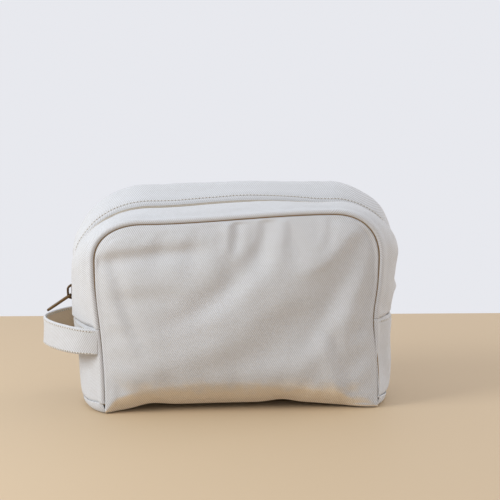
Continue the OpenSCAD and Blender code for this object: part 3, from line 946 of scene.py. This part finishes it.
thin = (slice(3, -3, 2), slice(3, -3, 2))
lined("front_lining_cloth", front_face[::-1][thin], 2.2, opens, "front_lining_upper", "front_lining_lower")
lined("back_lining_cloth", back_face[thin], 2.2, stays, "back_lining")
lined("front_gusset_lining", strips[-1][2:-2:2, 13:-8], 3.4, opens, "front_strip_lining")
lined("back_gusset_lining", strips[1][2:-2:2, 8:-13], 3.4, stays, "back_strip_lining")
for side, word in SIDES:
    lined(word + "_side_lining_cloth", sides[side][3:-3, 12:-12], 2.2, stays, word + "_side_lining")
sole = base_grid[3:-3, 14:-14] + [0, 0, 2.0]
piece(shell("base_lining_cloth", sole, LINING_T, inner=sole + [0, 0, LINING_T]), lining, "lining", stays,
      "base_lining")


def seam_loop(back, inset_mm, y):
    zl = np.linspace(6, ZIP, 30, endpoint=False)
    low_l, low_r = np.stack([-left_seam(zl), zl], 1), np.stack([right_seam(zl), zl], 1)
    n_l = np.stack([-np.ones(30), np.zeros(30)], 1)
    p = np.concatenate([low_l, BACK if back else FRONT, low_r[::-1]])
    n = np.concatenate([n_l, OUT, -n_l])
    return to3(p - n * inset_mm, y)


def band(name, line, width_dir):
    """A flat bound edge following a line."""
    w, t = 6.5, 1.4
    up = unit(np.cross(unit(np.gradient(line, axis=0)), width_dir))
    prof = [(-1, -0.6), (-0.8, -1), (0.8, -1), (1, -0.6), (1, 0.6), (0.8, 1), (-0.8, 1), (-1, 0.6)]
    verts = np.concatenate([(line + width_dir * (b * t / 2) + up * (a * w / 2))[:, None] for a, b in prof], 1)
    m, n = len(line), len(prof)
    uv = np.stack([np.tile(np.arange(n) * w / 4, m), np.repeat(run(line), n)], 1)
    return make(name, verts.reshape(-1, 3), pipe(m, n), uv)


ydir = np.array([0, 1.0, 0])
piece(band("front_seam_binding_cloth", seam_loop(False, 7, -46.4), ydir), lining, "lining", opens,
      "front_seam_binding_upper", "front_seam_binding_lower")
piece(band("back_seam_binding_cloth", seam_loop(True, 7, 46.4), ydir), lining, "lining", stays,
      "back_seam_binding")
for side, word in SIDES:
    y = np.linspace(-34, 34, 40)
    x = (left_mid if side < 0 else right_mid)(np.array([ZIP]))[0] - 8
    line = np.stack([side * (x - 9 * (y / 34) ** 2), y, np.full(40, ZIP - 2.0)], 1)
    edge = band(word + "_side_binding_cloth", line, np.array([0, 0, 1.0]))
    piece(edge, lining, "lining", stays, "side_seam_bindings")

# ---------------- front and back seams: a dark tan cord deep in the groove, painting the groove's shade
for half, word, hold in HALVES:
    _, r, t, l = panel_lines(half > 0, 0.35)
    x, z = np.concatenate([l[3:], t[1:-1], r[3:][::-1]]).T
    tuck = tucked(x, z) if half < 0 else 0 * x
    line = np.stack([x, half * (HD - 1.5 - tuck), z + edge_lift(half > 0, x, z)], 1)
    hold(dress(tube(word + "_seam_thread", line[line[:, 2] > 7], 0.62), seam_shade_mat))

# ---------------- zip: tapes, teeth, stops
def bulge(y):
    """How much of the way from seam to middle the gusset has swelled at a depth near the zip."""
    return 1 - (np.abs(y) / 48.5) ** 2.2


def along_zip(half, inset_mm, y, z_from, z_to):
    y = np.array([float(y)])
    p = body_point(half, 0 * y - inset_mm, bulge(y), y)[:, 0]
    keep = ~((MIDDLE[:, 0] < 0) & (MIDDLE[:, 1] < z_from)) & ~((MIDDLE[:, 0] > 0) & (MIDDLE[:, 1] < z_to))
    return p[keep], OUT3[keep]


ROW = (SL_LO[2] + 5.6, ZIP + 4)  # how low the rows of teeth reach on the left and on the right
for half, word, hold in HALVES:
    ys = np.linspace(1.3, 13.5, 7)
    ys = -ys[::-1] if half < 0 else ys
    g = body_point(half, 0 * ys, bulge(ys), ys) - OUT3[:, None] * 2.5
    piece(shell(word + "_zip_tape_cloth", g, TAPE_T), tape_mat, "zip_nylon", hold, word + "_zip_tape")
    # teeth: one nylon loop every pitch, the two rows half a step apart
    line, up = along_zip(half, 0.95, half * 1.55, *ROW)
    d = run(line)
    pitch = 1.35
    t = np.arange(0.3 + (0.5 * pitch if half > 0 else 0), d[-1] - 0.3, pitch)
    c, u = sample(t, d, line), sample(t, d, up)
    tan = sample(t + 0.5, d, line) - sample(t - 0.5, d, line)
    across = np.tile(ydir, (len(t), 1)) + unit(tan) * 0.12 * half + u * 0.2 * u[:, 2:]
    bar = capsules("bars", c, across, u, 3.3, 0.5, 1.35, 8, arch=0.15)
    inward = c + np.array([0, -half * 1.15, 0]) - u * 0.23 * u[:, 2:] * half
    bead = capsules("beads", inward, tan, u, 1.05, 0.56, 1.4, 8)
    piece(joined(word + "_zip_teeth", [bar, bead]), teeth_mat, "zip_nylon", hold, word + "_zip_coil")
    # the stitching that holds the teeth to the tape
    line, up = along_zip(half, 0.2, half * 2.35, *ROW)
    hold(dress(stitches(word + "_teeth_stitching", line, up, 2.0, 1.7, 0.24, 3), stitch_mat))
    x0, x1, z0, z1 = -MID + 0.4, -MID + 2.4, SL_LO[2] - 3.4, SL_LO[2] - 1.0
    stop = extrude(word + "_top_stop", [(x0, z0), (x1, z0), (x1, z1), (x0, z1)],
                   *((-3.6, -1.4) if half < 0 else (1.4, 3.6)), 1, 0.45)
    hold(dress(stop, brass_shaded_mat))


# ---------------- topstitching
def on_strip(half, y):
    """The strip's surface line nearest depth y, with its outward direction."""
    g = strips[half]
    first, last = (12, -9) if half < 0 else (9, -12)
    col = np.abs(g[K // 2, first:last, 1] - y).argmin() + first
    return g[2:-2, col], normals(g)[2:-2, col]


def sew(name, line, up, seed, hold, pitch=3.0):
    """A row of stitches with its needle holes, each given to hold() to say what it rides on."""
    hold(dress(stitches(name, line, up, pitch, pitch * 0.68, 0.42, seed, 0.1), stitch_mat))
    hold(dress(holes(name + "_holes", line, up, pitch), hole_shade_mat))


for half, word, hold in HALVES:
    line, up = on_strip(half, half * (GAP + 2.1))
    sew(word + "_zip_topstitch", line, up, 11, hold)
row = np.abs(side_heights() - GROOVE).argmin()
for side, word in SIDES:
    g = sides[side]
    sew(word + "_side_topstitch", g[row, 10:-10], normals(g)[row, 10:-10], 12, stays)

# ---------------- handle strap
def strap():
    lo, hi = box("handle_strap")
    reach, w, z0 = -lo[0], hi[2] - lo[2], lo[2]
    thick, e = 2.6, HD - 1.4
    ctrl = np.array([[-117.5, -e], [-141, -e], [-(reach - thick / 2), -17], [-(reach - thick / 2), 0]])
    t = np.linspace(0, 1, 60)[:, None]
    arm = (ctrl[0] * (1 - t) ** 3 + 3 * ctrl[1] * t * (1 - t) ** 2
           + 3 * ctrl[2] * t * t * (1 - t) + ctrl[3] * t ** 3)
    line = resample(np.concatenate([arm, (arm * [1, -1])[::-1][1:]]), 150)
    d = unit(np.gradient(line, axis=0))
    nrm = np.stack([d[:, 1], -d[:, 0]], 1) * -1  # away from the middle of the loop
    if nrm[75, 0] > 0:
        nrm = -nrm
    s = np.linspace(-1, 1, 150)
    top, low = z0 + w + 2.3 + 2.1 * s - 1.8 * s ** 2, z0 - 1.3 + 2.6 * s + 1.3 * s ** 2
    wide, zc = top - low, (top + low) / 2
    lean = 0.3 * np.sin(math.pi * (s + 1) / 2) + 0.5 * np.sin(7 * s)
    # cross-section: folded edges a little fuller than the middle, grooves under both rows of stitches
    hz = np.linspace(-1, 1, 33)
    full = 0.5 * thick * (0.92 + 0.08 * hump(np.abs(hz), 0.93, 0.1) - 0.1 * hump(hz, 0.8, 0.06)
                          - 0.1 * hump(hz, -0.87, 0.06))
    full = full * np.sqrt(np.clip(1 - (np.clip(np.abs(hz) - 0.9, 0, 1) / 0.1) ** 2.2, 0.0, 1)) + 0.02
    prof = np.concatenate([np.stack([full, hz * w / 2], 1), np.stack([-full, hz * w / 2], 1)[::-1]])
    m, n = len(line), len(prof)
    g = np.zeros((m, n, 3))
    z = prof[None, :, 1] * (wide / w)[:, None]
    for k in (0, 1):
        g[..., k] = line[:, [k]] + nrm[:, [k]] * (prof[None, :, 0] - lean[:, None] * z / w)
    g[..., 2] = zc[:, None] + z
    away = np.concatenate([nrm, np.zeros((m, 1))], 1)
    g += away[:, None] * (0.25 * waves(g, 21, 61))[..., None]
    uv = np.stack(np.broadcast_arrays(run(line)[:, None], run(prof)[None]), -1)
    o = make("handle_strap_cloth", g.reshape(-1, 3), pipe(m, n, flip=True), uv.reshape(-1, 2))
    inner_side = [len(hz) < f % n < n - 1 for f in range((m - 1) * n)]
    rows = []
    for groove in (0.8, -0.87):
        j = np.abs(hz - groove).argmin()
        rows += [(g[4:-4, j], away[4:-4]), (g[4:-4, n - 1 - j], -away[4:-4])]
    return o, rows, inner_side


def swings(o):
    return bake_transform(o)


strap_o, strap_rows, strap_inner = strap()
dress(strap_o, canvas)
# the loop's inner faces take the darker tan copy of the canvas: painted shade
strap_o.data.materials.append(canvas_painted_shade)
for k, inside in enumerate(strap_inner):
    strap_o.data.polygons[k].material_index = 1 if inside else 0
swings(strap_o)
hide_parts("handle_strap", "handle_ends")
for k, (line, up) in enumerate(strap_rows):
    sew("handle_topstitch_%d" % (k + 1), line, up, 70 + k, swings, 2.7)


# ---------------- slider, bail and pull
def rounded(pts, r, n=5):
    """A closed outline with its corners rounded."""
    pts = np.asarray(pts, float)
    out = []
    for k in range(len(pts)):
        a, b, c = pts[k - 1], pts[k], pts[(k + 1) % len(pts)]
        ra = min(r, 0.45 * np.linalg.norm(a - b), 0.45 * np.linalg.norm(c - b))
        p, q = b + unit(a - b) * ra, b + unit(c - b) * ra
        for t in np.linspace(0, 1, n):
            out.append(p * (1 - t) ** 2 + 2 * b * t * (1 - t) + q * t * t)
    return out


def slider():
    (x_out, _, z0), (x_in, y, z1) = SL_LO, SL_HI
    plate = 1.2
    shape = rounded([(-y * 0.62, z0), (y * 0.62, z0), (y * 0.72, z0 + 3), (y, z0 + 7.4), (y * 0.9, z1 - 1.2),
                     (y * 0.35, z1 - 0.2), (0, z1 - 1.5), (-y * 0.35, z1 - 0.2), (-y * 0.9, z1 - 1.2),
                     (-y, z0 + 7.4), (-y * 0.72, z0 + 3)], 1.6)
    top = extrude("plate", shape, x_out, x_out + plate, 0, 0.35)
    small = [(p * 0.88, z0 + 0.4 + (q - z0) * 0.93) for p, q in shape]
    under = extrude("under", small, x_in - 1.0, x_in, 0, 0.3)
    parts = [top, under]
    for s in (-1, 1):
        wall = [(s * y, z0 + 5.2), (s * y, z1 - 2.4), (s * (y - 0.8), z1 - 2.2), (s * (y - 0.8), z0 + 5.2)]
        parts.append(extrude("wall", wall, x_out + plate - 0.3, x_out + plate + 2.0, 0, 0.2))
        low = [(s * y * 0.72, z0 + 0.5), (s * y, z0 + 5.6), (s * (y - 0.8), z0 + 5.6),
               (s * (y * 0.72 - 0.8), z0 + 0.5)]
        parts.append(extrude("wall_low", low, x_out + plate - 0.3, x_out + plate + 2.0, 0, 0.15))
    ang = np.linspace(0, 2 * math.pi, 20, endpoint=False)
    post = [(0.9 * math.sin(a), z0 + 2 + 1.1 * math.cos(a)) for a in ang]
    parts.append(extrude("post", post, x_out + plate - 0.2, x_in - 0.6, 0, 0))
    return joined("slider_body_metal", parts)


def bail():
    lo, hi = box("slider_bail")
    z0, z1, x1, x0 = lo[2], hi[2], hi[0] + 0.35, lo[0]
    path = np.array([[x1, z0 + 0.5], [x1 - 1.2, z0 + 0.6], [x0 + 1.1, z0 + 1.2], [x0 + 0.62, z0 + 2.0],
                     [x0 + 0.5, z0 + 3.6], [x0 + 0.3, z0 + 6.2], [x0 + 0.35, z1 - 3.6], [x0 + 0.9, z1 - 2.4],
                     [x1 - 0.9, z1 - 0.8], [x1, z1 - 0.45]])
    pts = resample(np.array([path[int(i)] * (1 - i % 1) + path[min(int(i) + 1, len(path) - 1)] * (i % 1)
                             for i in np.linspace(0, len(path) - 1.001, 60)]), 44)
    for _ in range(3):
        pts[1:-1] = (pts[:-2] + pts[2:] + 2 * pts[1:-1]) / 4
    d = unit(np.gradient(pts, axis=0))
    nrm = np.stack([-d[:, 1], d[:, 0]], 1)
    w, t = 1.35, 1.0
    ang = np.linspace(0, 2 * math.pi, 16, endpoint=False)
    prof = [(np.sign(math.cos(a)) * abs(math.cos(a)) ** 0.5 * w,
             np.sign(math.sin(a)) * abs(math.sin(a)) ** 0.6 * t) for a in ang]
    verts = np.array([[[p[0] + n[0] * b, a, p[1] + n[1] * b] for a, b in prof] for p, n in zip(pts, nrm)])
    return make("slider_bail_metal", verts.reshape(-1, 3), pipe(len(pts), len(prof), flip=True))


PULL_REST = 56.5  # degrees from hanging straight down


def pull():
    joint = [j for j in frame["joints"] if j["name"] == "pull_turn"][0]
    piv = np.array(joint["pos_m"]) * 1000
    hw = box("pull_tab")[1][1]
    L, slot, arm = 24.2, 11.0, 1.7
    # one flat plate with a long slot at the top, drawn hanging down, then turned to rest
    outer = rounded([(-hw, 0.8), (-hw + 0.5, 1.3), (hw - 0.5, 1.3), (hw, 0.8), (hw - 0.25, -slot),
                     (hw - 0.1, -L + 4.6), (hw * 0.62, -L + 0.6), (0, -L), (-hw * 0.62, -L + 0.6),
                     (-hw + 0.1, -L + 4.6), (-hw + 0.25, -slot)], 1.7, 6)
    hole = rounded([(-arm, -1.0), (arm, -1.0), (arm, -slot + 0.4), (-arm, -slot + 0.4)], 0.7, 5)
    plate = plate_with_hole("plate", outer, hole, 0.98)
    ang = np.linspace(0, 2 * math.pi, 18, endpoint=False)
    pin = extrude("pin", [(0.72 * math.cos(a), 0.72 * math.sin(a)) for a in ang], -hw + 0.3, hw - 0.3, 1, 0)
    o = joined("pull_tab_metal", [plate, pin])
    rest = math.radians(PULL_REST)
    co = np.array([v.co for v in o.data.vertices]) * 1000
    c, s = math.cos(rest), math.sin(rest)
    x, z = co[:, 0] * c + co[:, 2] * s, -co[:, 0] * s + co[:, 2] * c
    co = np.stack([x + piv[0], co[:, 1], z + piv[2]], 1) / 1000
    o.data.vertices.foreach_set("co", co.astype(np.float32).ravel())
    o.data.update()
    return o


def plate_with_hole(name, outer, hole, t):
    """A plate in the YZ plane with a hole through it, t each side of x = 0, its edges softened."""
    n = 72
    ang = np.linspace(0, 2 * math.pi, n, endpoint=False)

    centre = np.asarray(hole).mean(0)

    def ray(poly):
        """Where rays from the hole's centre leave an outline."""
        poly = np.asarray(poly)
        res = []
        for th in ang:
            d = np.array([math.sin(th), math.cos(th)])
            best = None
            for p, q in zip(poly, np.roll(poly, -1, 0)):
                e = q - p
                den = d[0] * e[1] - d[1] * e[0]
                if abs(den) < 1e-12:
                    continue
                w = p - centre
                s = (w[0] * e[1] - w[1] * e[0]) / den
                k = (w[0] * d[1] - w[1] * d[0]) / den
                if s > 0 and -1e-9 <= k <= 1 + 1e-9 and (best is None or s > best):
                    best = s
            res.append(centre + d * best)
        return np.array(res)
    ri, ro = ray(hole), ray(outer)
    soft = 0.22
    near, far = ri + (ro - ri) * 0.06, ri + (ro - ri) * 0.94
    rings = [(ri, -t + soft), (near, -t), (far, -t), (ro, -t + soft),
             (ro, t - soft), (far, t), (near, t), (ri, t - soft)]
    verts = np.concatenate([np.stack([np.full(n, x), r[:, 0], r[:, 1]], 1) for r, x in rings])
    k = len(rings)
    faces = [(((i + 1) % k) * n + j, i * n + j, i * n + (j + 1) % n, ((i + 1) % k) * n + (j + 1) % n)
             for i in range(k) for j in range(n)]
    return make(name, verts, faces)


def slides(o):
    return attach(o, "slider")


def turns(o):
    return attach(o, "pull")


piece(slider(), brass_shaded_mat, "antique_brass", slides, "slider_body")
piece(bail(), brass_shaded_mat, "antique_brass", slides, "slider_bail")
piece(pull(), pull_mat, "antique_brass", turns, "pull_tab")
stop = frame["nodes"]["zip_bottom_stop"]
stop.data.materials.clear()
stop.data.materials.append(brass_shaded_mat)

# ---------------- floor, light, camera
# the floor's far edge slants, so that it falls where the photo's horizon does
WIDE, FAR_RIGHT, FAR_LEFT = 3000, 195, 561
corners = [(-WIDE, -WIDE, 0), (WIDE, -WIDE, 0), (WIDE, FAR_RIGHT, 0), (-WIDE, FAR_LEFT, 0)]
floor = make("floor", corners, [(0, 1, 2, 3)], smooth=False)
fm, _, fb = nodes_of("pale_floor")
fb.inputs["Base Color"].default_value = (0.55, 0.415, 0.265, 1)
fb.inputs["Roughness"].default_value = 0.6
floor.data.materials.append(fm)

world = bpy.data.worlds.new("studio")
bpy.context.scene.world = world
world.use_nodes = True
world.node_tree.nodes["Background"].inputs[0].default_value = (0.752, 0.76, 0.80, 1)
world.node_tree.nodes["Background"].inputs[1].default_value = 1.07
bpy.context.scene.view_settings.view_transform = "Standard"


def area(name, loc, target, size, power, colour=(1, 1, 1)):
    d = bpy.data.lights.new(name, "AREA")
    d.size, d.energy, d.color = size, power, colour
    o = bpy.data.objects.new(name, d)
    bpy.context.scene.collection.objects.link(o)
    o.location = loc
    o.rotation_mode = "QUATERNION"
    o.rotation_quaternion = (Vector(target) - Vector(loc)).to_track_quat("-Z", "Y")


area("window_left", (-1.1, -0.42, 0.76), (0, 0, 0.08), 0.56, 12.6, (0.9, 0.955, 1.0))
area("wall_right", (1.5, 0.35, 0.65), (0, 0, 0.08), 0.9, 6.6, (1.0, 0.99, 0.97))

cam_data = bpy.data.cameras.new("camera")
cam = bpy.data.objects.new("camera", cam_data)
bpy.context.scene.collection.objects.link(cam)
bpy.context.scene.camera = cam
AZ, EL, DIST = math.radians(-5.4), math.radians(8.4), 1.2
aim = Vector((0.0156, 0, 0.1317))
back_v = Vector((math.sin(AZ) * math.cos(EL), -math.cos(AZ) * math.cos(EL), math.sin(EL)))
cam.location = aim + back_v * DIST
cam.rotation_mode = "QUATERNION"
cam.rotation_quaternion = (-back_v).to_track_quat("-Z", "Y")
cam_data.sensor_width = 36
FOCAL, PHOTO = 1367, 500  # focal length and width of the photo, in its picture elements
cam_data.lens = FOCAL / PHOTO * 36
cam_data.clip_start, cam_data.clip_end = 0.05, 50
